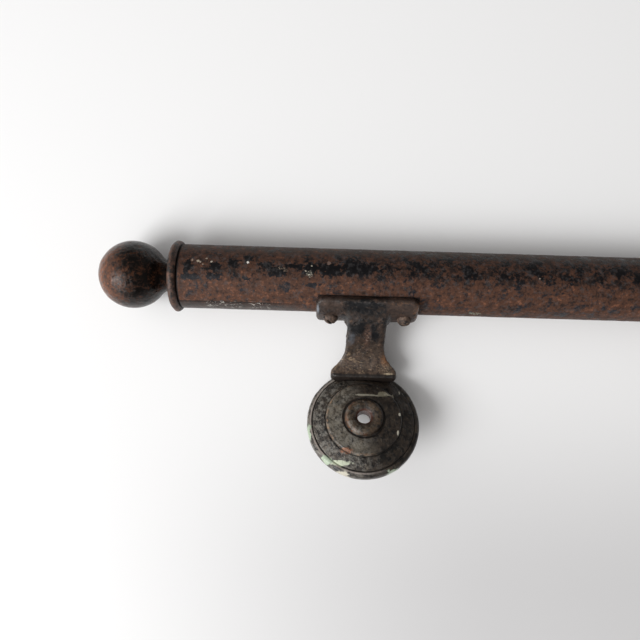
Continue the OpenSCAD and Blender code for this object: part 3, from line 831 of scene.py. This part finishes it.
def make_rail_tube(material):
    """The tube's outside and bore as one closed skin: circles set along X, the outside roughened by noise,
    the lips and the bore smooth."""
    steps, around, lip = 560, 148, 0.5 * MM
    outside = np.column_stack([np.linspace(-TUBE_END, TUBE_END, steps), np.full(steps, TUBE_R)])
    end = np.array([[TUBE_END, TUBE_R - lip], [TUBE_END, BORE_R + lip], [TUBE_END - lip, BORE_R]])
    bore = np.column_stack([np.linspace(TUBE_END - 2 * MM, -TUBE_END + 2 * MM, 12), np.full(12, BORE_R)])
    profile = np.vstack([outside[1:-1], [[TUBE_END - lip, TUBE_R]], end, bore, (end * (-1, 1))[::-1],
                         [[-TUBE_END + lip, TUBE_R]]])
    rings = lathe_rings(profile, around, tube_end(0), ALONG, UP)
    height = rough_iron(rings, 11, 0.07, 0.055, 0.16)
    height[steps - 2:] = 0
    mesh = grid_mesh("rail_tube_skin", roughened(rings, height, True), True)
    link("rail_tube_skin", mesh, "rail", ["rail_tube"], material)


def make_ball_finial(side, material):
    """Ball, cove and neck turned about the rail's axis. The cove is a circle that touches the ball and the
    neck's land."""
    sign, name = SIDES[side], f"{side}_ball_finial"
    land, face_steps, on_ball = 1.0 * MM, 18, slice(60, None)
    cove_rise = BALL_OUT - NECK_FACE - land
    cove_r = (cove_rise ** 2 / (BALL_R - NECK_R) - BALL_R - NECK_R) / 2
    lean = np.degrees(np.arctan2(cove_rise, NECK_R + cove_r))
    cove = arc((NECK_FACE + land, NECK_R + cove_r), cove_r, -90, -lean, 26)
    ball = arc((BALL_OUT, 0), BALL_R, 90 + lean, 0.2, 130)
    face_r = np.linspace(0.3 * MM, NECK_R - 0.4 * MM, face_steps)
    face = np.column_stack([np.full(face_steps, NECK_FACE), face_r])
    profile = np.vstack([face, [(NECK_FACE + 0.2 * MM, NECK_R)], cove, ball[1:]])
    rings = lathe_rings(profile, 170, tube_end(sign), (sign, 0, 0), UP)
    height = rough_iron(rings, 31 if sign < 0 else 47, 0.13, 0.06, 0.20)
    height *= np.clip((profile[:, 1] / (2 * MM)), 0, 1)[:, None]
    height[:face_steps + 1] *= 0.15
    middle = tube_end(sign) + (sign * BALL_OUT, 0, 0)
    mesh = grid_mesh(f"{name}_skin", roughened(rings, height, False, middle, on_ball))
    link(f"{name}_skin", mesh, f"{side}_finial", [name], material)


def make_end_collar(side, material):
    """Bead, web and spigot turned about the rail's axis. The bead is half a circle with a small lump."""
    sign, name = SIDES[side], f"{side}_end_collar"
    bore, spigot, back = 6.6 * MM, BORE_R - 0.1 * MM, -1.7 * MM
    round_r = (COLLAR_OUT - COLLAR_IN) / 2
    bead = arc((COLLAR_IN + round_r, BEAD_R - round_r), round_r, 180, 0, 26)
    corners = [[back, bore], [back, spigot], [COLLAR_IN, spigot], *bead, [COLLAR_OUT, bore], [back, bore]]
    profile = soften(corners, 0.35 * MM, 0.25 * MM)[:-1]
    rings = lathe_rings(profile, 190, tube_end(sign), (sign, 0, 0), UP)
    height = rough_iron(rings, 61 if sign < 0 else 67, 0.10, 0.05, 0.10)
    lump = AXIS + np.array([sign * (TUBE_END + 3.6 * MM), 0, 0]) - BEAD_R * FLOOR_U
    height += 0.45 * MM * np.exp(-np.sum((rings - lump) ** 2, -1) / (2.6 * MM) ** 2)
    height *= np.clip((profile[:, 1] - spigot) / (1.5 * MM), 0, 1)[:, None]
    mesh = grid_mesh(f"{name}_skin", roughened(rings, height, True, rings.mean((0, 1))), True)
    link(f"{name}_skin", mesh, f"{side}_collar", [name], material)


def make_finial_stud(side, material):
    """Stud with a right-hand thread: its radius falls by a tent wave of height along the axis less turn."""
    sign, name = SIDES[side], f"{side}_finial_stud"
    lo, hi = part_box(name)
    near, far = (lo.x, hi.x) if sign > 0 else (-hi.x, -lo.x)
    steps, around, pitch, radius, depth = 250, 72, 25.4 / 13 * MM, 6.35 * MM, 1.0 * MM
    crest, flanks, chamfer = 0.12, 0.76, 1.2 * MM
    along = np.linspace(near - TUBE_END, far - TUBE_END, steps)
    profile = np.column_stack([along, np.full(steps, radius)])
    rings = lathe_rings(profile, around, tube_end(sign), (sign, 0, 0), UP)
    turn = np.arange(around)[None, :] / around
    wave = np.abs(((along[:, None] / pitch - turn) % 1) - 0.5) * 2
    cut = np.clip((wave - crest) / flanks, 0, 1) * depth
    ends = np.clip(np.minimum(along - along[0], along[-1] - along), 0, chamfer)[:, None]
    cut = np.maximum(cut, chamfer - ends)
    spoke = (rings - tube_end(0)) * (0, 1, 1)
    rings = rings - spoke / radius * cut[..., None]
    link(f"{name}_thread", grid_mesh(f"{name}_thread", rings), f"{side}_finial", [name],
         material, 1)


def rounded_box(half, depth, radius, n):
    """Outline of a rounded rectangle: x from -half to half, s from 0 to depth. half and depth may be columns,
    and n is the number of points on each corner."""
    quarter = np.radians(np.linspace(0, 90, n))
    c, s = np.cos(quarter), np.sin(quarter)
    flat, side = np.linspace(0, 1, 26)[1:-1], np.linspace(0, 1, 12)[1:-1]
    r = radius
    x = np.concatenate([half - r + r * c, (half - r) * (1 - 2 * flat), -(half - r) - r * s,
                        np.repeat(-half, len(side), -1), -(half - r) - r * c, -(half - r) * (1 - 2 * flat),
                        half - r + r * s, np.repeat(half, len(side), -1)], -1)
    y = np.concatenate([depth - r + r * s, np.repeat(depth, len(flat), -1), depth - r + r * c,
                        r + (depth - 2 * r) * (1 - side), r - r * s, np.repeat(0 * depth, len(flat), -1),
                        r - r * c, r + (depth - 2 * r) * side], -1)
    return x, y


def half_width(z):
    """Half the arm's width at height z: a rounded sole, a flare above the foot, a straight neck, then a
    quarter-circle fillet under the saddle."""
    low, draft, neck = FOOT_Z + 5 * MM, 0.6 * MM, ARM_W / 2
    under = SADDLE_LOW - ARM_FILLET
    top = under - ARM_STRAIGHT
    curve = bezier((FOOT_HALF - draft, low), (FOOT_HALF - 3.4 * MM, low + 0.29 * (top - low)),
                   (neck + 0.3 * MM, top - 0.46 * (top - low)), (neck, top), 60)
    above = np.clip(z - under, 0, ARM_FILLET)
    flare = np.interp(z, curve[:, 1], curve[:, 0]) + ARM_FILLET - np.sqrt(ARM_FILLET ** 2 - above ** 2)
    foot = FOOT_HALF - draft * np.clip((z - FOOT_Z) / (low - FOOT_Z), 0, 1)
    below = np.clip(FOOT_Z + SOLE_ROUND - z, 0, SOLE_ROUND)
    return np.where(z < low, foot, flare) - (SOLE_ROUND - np.sqrt(SOLE_ROUND ** 2 - below ** 2))


def even(curve, n):
    """A curve walked in equal steps."""
    curve = np.asarray(curve, float)
    along = np.r_[0, np.cumsum(np.linalg.norm(np.diff(curve, axis=0), axis=1))]
    walk = np.linspace(0, along[-1], n)
    return np.column_stack([np.interp(walk, along, curve[:, k]) for k in range(2)])


def arm_rings(centre_x):
    """The arm from its foot into the saddle: sections run from a back curve to a front curve, and each is a
    rounded rectangle as wide as the arm's front view at that height."""
    gap, rise_z, out = -AXIS_Y, AXIS_Z, SADDLE_OUT

    def on_saddle(angle):
        """Point of the saddle's outside, by its angle from straight down, as (off the wall, height)."""
        a = np.radians(angle)
        return np.array([gap + out * np.sin(a), rise_z - out * np.cos(a)])

    front_top, back_top = on_saddle(12), on_saddle(-20)
    front = bezier((FOOT_FACE, FOOT_Z + 1.5 * MM), (FOOT_FACE + 1 * MM, FOOT_Z + 13.5 * MM),
                   front_top - np.array([18.4, 9.2]) * MM, front_top, 50)
    back = bezier((RIM_T, PLATE_R + 0.8 * MM), (RIM_T + 4.5 * MM, PLATE_R + 7.5 * MM),
                  back_top - np.array([15, 6.5]) * MM, back_top, 50)
    inside = np.array([[gap, rise_z - out + 4.2 * MM]])
    front = even(np.vstack([[(FOOT_FACE - 0.6 * MM, FOOT_Z)], front, inside + (3 * MM, 0)]), 90)
    back = even(np.vstack([[(RIM_T, FOOT_Z)], back, inside - (3 * MM, 0)]), 90)
    across = front - back
    depth = np.linalg.norm(across, axis=1, keepdims=True)
    unit = across / depth
    radius = np.minimum(2.6 * MM, depth * 0.42)
    middle_half = half_width((front[:, 1:] + back[:, 1:]) / 2)
    x, s = rounded_box(middle_half, depth, radius, 6)
    off = back[:, :1] + unit[:, :1] * s
    z = back[:, 1:] + unit[:, 1:] * s
    x = x * half_width(z) / middle_half
    return np.stack([centre_x + x, -off, z], -1)


def saddle_rings(centre_x):
    """The saddle as a bent slab with round corners: a closed loop of angle and depth at each place along the
    rail, narrower near the two ends. Its inner face lifts a little from the tube towards every edge."""
    steps, turns, corner, end_round, r, lift = 90, 60, 5.0 * MM, 2.6 * MM, 2.2 * MM, 0.35 * MM
    half = SADDLE_L / 2 + 0.8 * MM
    centre_x += np.sign(centre_x) * 0.6 * MM
    x = half * np.sin(np.linspace(-1, 1, steps) * np.pi / 2)
    to_end = half - np.abs(x)
    over = np.clip(corner - to_end, 0, corner)
    reach = SADDLE_OUT * np.sin(SADDLE_WRAP) - corner + np.sqrt(np.maximum(corner ** 2 - over ** 2, 0))
    wrap = np.arcsin(np.clip(reach / SADDLE_OUT, 0, 1))[:, None]
    inner, outer = TUBE_R + 0.05 * MM, SADDLE_OUT
    a = np.linspace(-1, 1, turns)[None, :]
    bend = np.radians(np.linspace(0, 90, 6))[None, :]
    thick = np.clip(to_end / end_round, 0, 1)[:, None]
    top = outer - end_round * (1 - np.sqrt(1 - (1 - thick) ** 2))
    end = wrap - r / outer
    angle = np.concatenate([end * a, end + (r * np.sin(bend)) / outer, wrap * a[:, ::-1],
                            -end - (r * np.sin(bend[:, ::-1])) / outer], 1)
    near_side = np.clip((np.abs(a[:, ::-1]) - 0.80) / 0.20, 0, 1)
    near_end = np.clip(1 - to_end[:, None] / (3 * MM), 0, 1)
    lifted = np.maximum(inner + lift * near_side ** 2, inner + lift * near_end ** 2)
    radius = np.concatenate([np.repeat(top, turns, 1), top - r + r * np.cos(bend), lifted,
                             top - r + r * np.cos(bend[:, ::-1])], 1)
    along = np.repeat(centre_x + x[:, None], angle.shape[1], 1)
    return np.stack([along, AXIS_Y - radius * np.sin(angle), AXIS_Z - radius * np.cos(angle)], -1)


def fused(name, shells, voxel, rounds):
    """Closed shells made into one skin: voxels, then a few rounds of smoothing."""
    loose = bpy.data.meshes.new(name)
    vertices, faces, base = [], [], 0
    for shell in shells:
        count = len(shell.vertices)
        co = np.zeros(count * 3)
        shell.vertices.foreach_get("co", co)
        vertices.append(co.reshape(-1, 3))
        faces += [[base + v for v in polygon.vertices] for polygon in shell.polygons]
        base += count
    loose.from_pydata(np.vstack(vertices), [], faces)
    worker = bpy.data.objects.new(name, loose)
    bpy.context.scene.collection.objects.link(worker)
    remesh = worker.modifiers.new("fuse", "REMESH")
    remesh.mode, remesh.voxel_size, remesh.adaptivity = "VOXEL", voxel, 0
    smooth = worker.modifiers.new("ease", "SMOOTH")
    smooth.factor, smooth.iterations = 0.5, rounds
    bpy.context.view_layer.update()
    graph = bpy.context.evaluated_depsgraph_get()
    mesh = bpy.data.meshes.new_from_object(worker.evaluated_get(graph))
    bpy.data.objects.remove(worker)
    for shell in (loose, *shells):
        bpy.data.meshes.remove(shell)
    mesh.name = name
    return mesh


def roughen_mesh(mesh, seed, lumps, fine, pits, extra=None):
    """Moves every point of a mesh along its normal by the height of rough iron there."""
    co = np.zeros(len(mesh.vertices) * 3)
    normal = np.zeros(len(mesh.vertices) * 3)
    mesh.vertices.foreach_get("co", co)
    mesh.vertex_normals.foreach_get("vector", normal)
    co, normal = co.reshape(-1, 3), normal.reshape(-1, 3)
    height = rough_iron(co, seed, lumps, fine, pits)
    if extra is not None:
        height = height + extra(co)
    mesh.vertices.foreach_set("co", (co + normal * height[:, None]).ravel())
    mesh.update()


def make_bracket_arm(side, material):
    """Saddle and arm fused into one casting."""
    sign = SIDES[side]
    name = f"{side}_bracket_arm_skin"
    centre = sign * PLATE_X
    shells = [grid_mesh("arm", arm_rings(centre)), grid_mesh("saddle", saddle_rings(centre))]
    mesh = fused(name, shells, 0.55 * MM, 7)

    def casting_lump(co):
        """Height of a small lump on the arm's outer side."""
        lump = np.array([centre + sign * 12.7 * MM, -36 * MM, 46 * MM])
        return 1.0 * MM * np.exp(-np.sum(((co - lump) / (1.6 * MM)) ** 2, -1))

    roughen_mesh(mesh, 83 if sign < 0 else 97, 0.22, 0.07, 0.16, casting_lump)
    link(name, mesh, "rail", [f"{side}_bracket_arm"], material)


def plate_profile():
    """The plate from the hole's back edge round its hollow back, rim, ring, crown and boss to the hole again,
    as rows of (height off the wall, radius) in metres."""
    r, ring, groove, boss, hole = PLATE_R / MM, RING_R / MM, GROOVE_R / MM, BOSS_R / MM, 4.45
    edge = bezier((3.2, r), (5.2, r), (6.0, r - 1.6), (6.0, groove), 10)
    rows = [(6, hole), (6, boss + 7), (2.6, r - 7), (0, r - 7), (0, r), *edge, (5.5, groove),
            (5.5, groove - 0.6), (6.5, groove - 0.6), (9.6, ring + 1.1), (9.1, ring + 0.6), (10.6, ring),
            (11.2, ring - 0.5), (12.6, boss + 1.2), (11.6, boss + 0.6), (11.6, boss - 0.3), (14.3, 12.0),
            (15.2, 10.8), (15.3, 9.0), (14.9, 7.2), (14.2, 5.9), (13.2, hole), (6.2, hole - 0.1)]
    return np.array(rows, float) * MM


def make_wall_plate(side, material):
    """The plate turned about the hole's axis. Above the foot's seat nothing stands higher than the rim, and
    behind the seat the back is solid."""
    sign, name = SIDES[side], f"{side}_wall_plate_skin"
    profile = soften(plate_profile(), 0.36 * MM, 0.22 * MM)
    centre = np.array([sign * PLATE_X, 0, 0])
    rings = lathe_rings(profile, 250, centre, (0, -1, 0), UP)
    off, z = -rings[..., 1], rings[..., 2]
    seat, slope = FOOT_Z - 0.3 * MM, 0.7 * MM
    above_seat = (off > RIM_T - 0.1 * MM) & (z > seat)
    off = np.where(above_seat, RIM_T + (off - RIM_T) * np.clip(1 - (z - seat) / slope, 0, 1), off)
    back_rows = np.arange(len(profile)) < 120
    back = (profile[:, 0] < RIM_T + 0.05 * MM) & (profile[:, 1] < PLATE_R - 6.9 * MM) & back_rows
    solid = np.clip((z - (seat - 3.5 * MM)) / slope, 0, 1) * back[:, None]
    rings[..., 1] = -off * (1 - solid)
    height = rough_iron(rings, 113 if sign < 0 else 127, 0.16, 0.06, 0.20)
    height *= (profile[:, 0] > 0.4 * MM)[:, None] * (1 - solid)
    crown = np.argmax(profile[:, 0] * (profile[:, 1] > 8 * MM))
    mesh = grid_mesh(name, roughened(rings, height, True, centre, slice(crown, crown + 1)), True)
    link(name, mesh, "rail", [f"{side}_wall_plate"], material)


def make_saddle_screw(side, place, material):
    """Domed head with a slot, on its shank: circles about the screw's axis, which leans towards the wall. The
    head is cut down inside the slot."""
    node = f"{side}_saddle_screw_{place}"
    lo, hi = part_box(node)
    head_r, head_h, shank_r, slot_half, slot_deep = (hi.x - lo.x) / 2, 4.4 * MM, 3.0 * MM, 0.9 * MM, 1.5 * MM
    down = np.array([0, np.sin(SCREW_LEAN), -np.cos(SCREW_LEAN)])
    base = np.sqrt(SADDLE_OUT ** 2 - head_r ** 2)
    tip = base + head_h
    dome_r = (head_r ** 2 + head_h ** 2) / (2 * head_h)
    dome = arc((tip - dome_r, 0), dome_r, 0, np.degrees(np.arcsin(head_r / dome_r)), 46)
    dome[0, 1] = 0.05 * MM
    tail = BORE_R - 3 * MM
    shank = soften([dome[-1], (base, head_r - 0.2 * MM), (base, shank_r), (tail, shank_r), (tail, 0.3 * MM)],
                   0.35 * MM, 0.15 * MM)
    profile = np.vstack([dome[:-1], shank])
    centre = np.array([(lo.x + hi.x) / 2, AXIS_Y, AXIS_Z])
    rings = lathe_rings(profile, 88, centre, down, ALONG)
    turn = np.radians(35 if place == "outer" else 100)
    slot_way = np.cos(turn) * np.array(ALONG) + np.sin(turn) * np.cross(down, ALONG)
    across, height = (rings - centre) @ slot_way, (rings - centre) @ down
    inside = np.clip((slot_half - np.abs(across)) / (0.3 * MM), 0, 1)
    sunk = inside * np.clip(height - (tip - slot_deep), 0, None)
    rough = rough_iron(rings, 200 + 7 * number_of(node), 0.16, 0.08, 0.14)
    on_head = (profile[:, 1] < head_r * 0.98) & (profile[:, 0] > base)
    rings += down * (rough * on_head[:, None] - sunk)[..., None]
    link(f"{node}_head", grid_mesh(f"{node}_head", rings), "rail", [node], material, 1)


def number_of(word):
    """A small number that belongs to a word."""
    return sum(ord(letter) * (k + 1) for k, letter in enumerate(word)) % 37


def make_floor():
    """Large pale floor that the rail's collars and plates lie on, greyer below the rail and to the right of
    the left-hand plate: a painted shade standing in for light falling off. From behind, and for shadow rays,
    it lets light through."""
    size = 6.0
    centre = AXIS - FLOOR_REACH * FLOOR_N
    corners = [centre + size * (a * np.array([1.0, 0, 0]) + b * FLOOR_U)
               for a, b in ((-1, -1), (1, -1), (1, 1), (-1, 1))]
    mesh = bpy.data.meshes.new("floor")
    mesh.from_pydata([tuple(c) for c in corners], [], [(0, 1, 2, 3)])
    if mesh.polygons[0].normal.dot(Vector(FLOOR_N)) < 0:
        mesh.flip_normals()
    material = bpy.data.materials.new("pale floor")
    material.use_nodes = True
    tree = material.node_tree
    tree.nodes.clear()
    place = vector(tree, "SUBTRACT", put(tree, "ShaderNodeTexCoord").outputs["Object"], tuple(centre))
    across, up = (vector(tree, "DOT_PRODUCT", place, tuple(d), out="Value") for d in ((1, 0, 0), FLOOR_U))
    # painted shade: the floor is greyer below the rail and to the right of the left-hand plate, standing in
    # for light falling off
    low = both(tree, rise(tree, up, -20 * MM, -220 * MM),
               rise(tree, across, -PLATE_X - 260 * MM, -PLATE_X + 110 * MM))
    color = mixed(tree, low, (0.88, 0.882, 0.886), (0.62, 0.617, 0.623))
    matt = put(tree, "ShaderNodeBsdfDiffuse", {"Color": color})
    clear = put(tree, "ShaderNodeBsdfTransparent")
    behind = put(tree, "ShaderNodeNewGeometry").outputs["Backfacing"]
    shadow = put(tree, "ShaderNodeLightPath").outputs["Is Shadow Ray"]
    through = calc(tree, "MAXIMUM", behind, shadow)
    pick = put(tree, "ShaderNodeMixShader", {0: through, 1: matt.outputs[0], 2: clear.outputs[0]})
    put(tree, "ShaderNodeOutputMaterial", {"Surface": pick.outputs[0]})
    mesh.materials.append(material)
    floor = bpy.data.objects.new("floor", mesh)
    bpy.context.scene.collection.objects.link(floor)


def make_light(name, way, distance, size, power, aim, colour=(1, 1, 1)):
    """A square soft light at a distance along a direction, turned towards its aim."""
    data = bpy.data.lights.new(name, "AREA")
    data.shape, data.size, data.energy, data.color = "SQUARE", size, power, colour
    lamp = bpy.data.objects.new(name, data)
    way = Vector(way).normalized()
    lamp.location = Vector(aim) + way * distance
    lamp.rotation_euler = way.to_track_quat("Z", "Y").to_euler()
    bpy.context.scene.collection.objects.link(lamp)


def light_scene():
    """Pale surroundings and one soft key light from the lower left, above the floor."""
    world = bpy.data.worlds.new("pale room")
    world.use_nodes = True
    tree = world.node_tree
    back = tree.nodes["Background"]
    way = put(tree, "ShaderNodeTexCoord").outputs["Generated"]
    bright = -0.90 * np.array([1, 0, 0]) - 0.30 * FLOOR_U + 0.30 * FLOOR_N
    toward = vector(tree, "DOT_PRODUCT", way, tuple(bright), out="Value")
    glow = rise(tree, toward, -0.15, 1.0)
    level = calc(tree, "MULTIPLY_ADD", both(tree, glow, glow), 1.25, 0.20)
    seen = put(tree, "ShaderNodeLightPath").outputs["Is Camera Ray"]
    feed(tree, back.inputs["Color"], mixed(tree, seen, (1.0, 0.985, 0.97), (0.9, 0.9, 0.9)))
    feed(tree, back.inputs["Strength"], calc(tree, "MAXIMUM", level, seen))
    bpy.context.scene.world = world
    bpy.context.scene.view_settings.view_transform = "Standard"
    aim = AXIS + np.array([-PLATE_X - 30 * MM, 0, 0]) - 20 * MM * FLOOR_U
    way = -0.64 * np.array([1, 0, 0]) - 0.37 * FLOOR_U + 0.67 * FLOOR_N
    make_light("key", way, 1.8, 0.95, 27, aim)


make_camera()
light_scene()
make_floor()

tube_iron, ball_iron, bead_iron = rusty_tube(), finial_iron(), collar_iron()
bracket_iron, rose_iron, head_steel, bare_steel = arm_iron(), plate_iron(), screw_steel(), inner_steel()
make_rail_tube(tube_iron)
for side in SIDES:
    make_ball_finial(side, ball_iron)
    make_end_collar(side, bead_iron)
    make_finial_stud(side, bare_steel)
    make_bracket_arm(side, bracket_iron)
    make_wall_plate(side, rose_iron)
    for place in ("outer", "inner"):
        make_saddle_screw(side, place, head_steel)
    for node, material in ((f"{side}_end_plug", bare_steel), (f"{side}_plate_screws", head_steel)):
        for shown in nodes[node].material_slots:
            shown.material = material
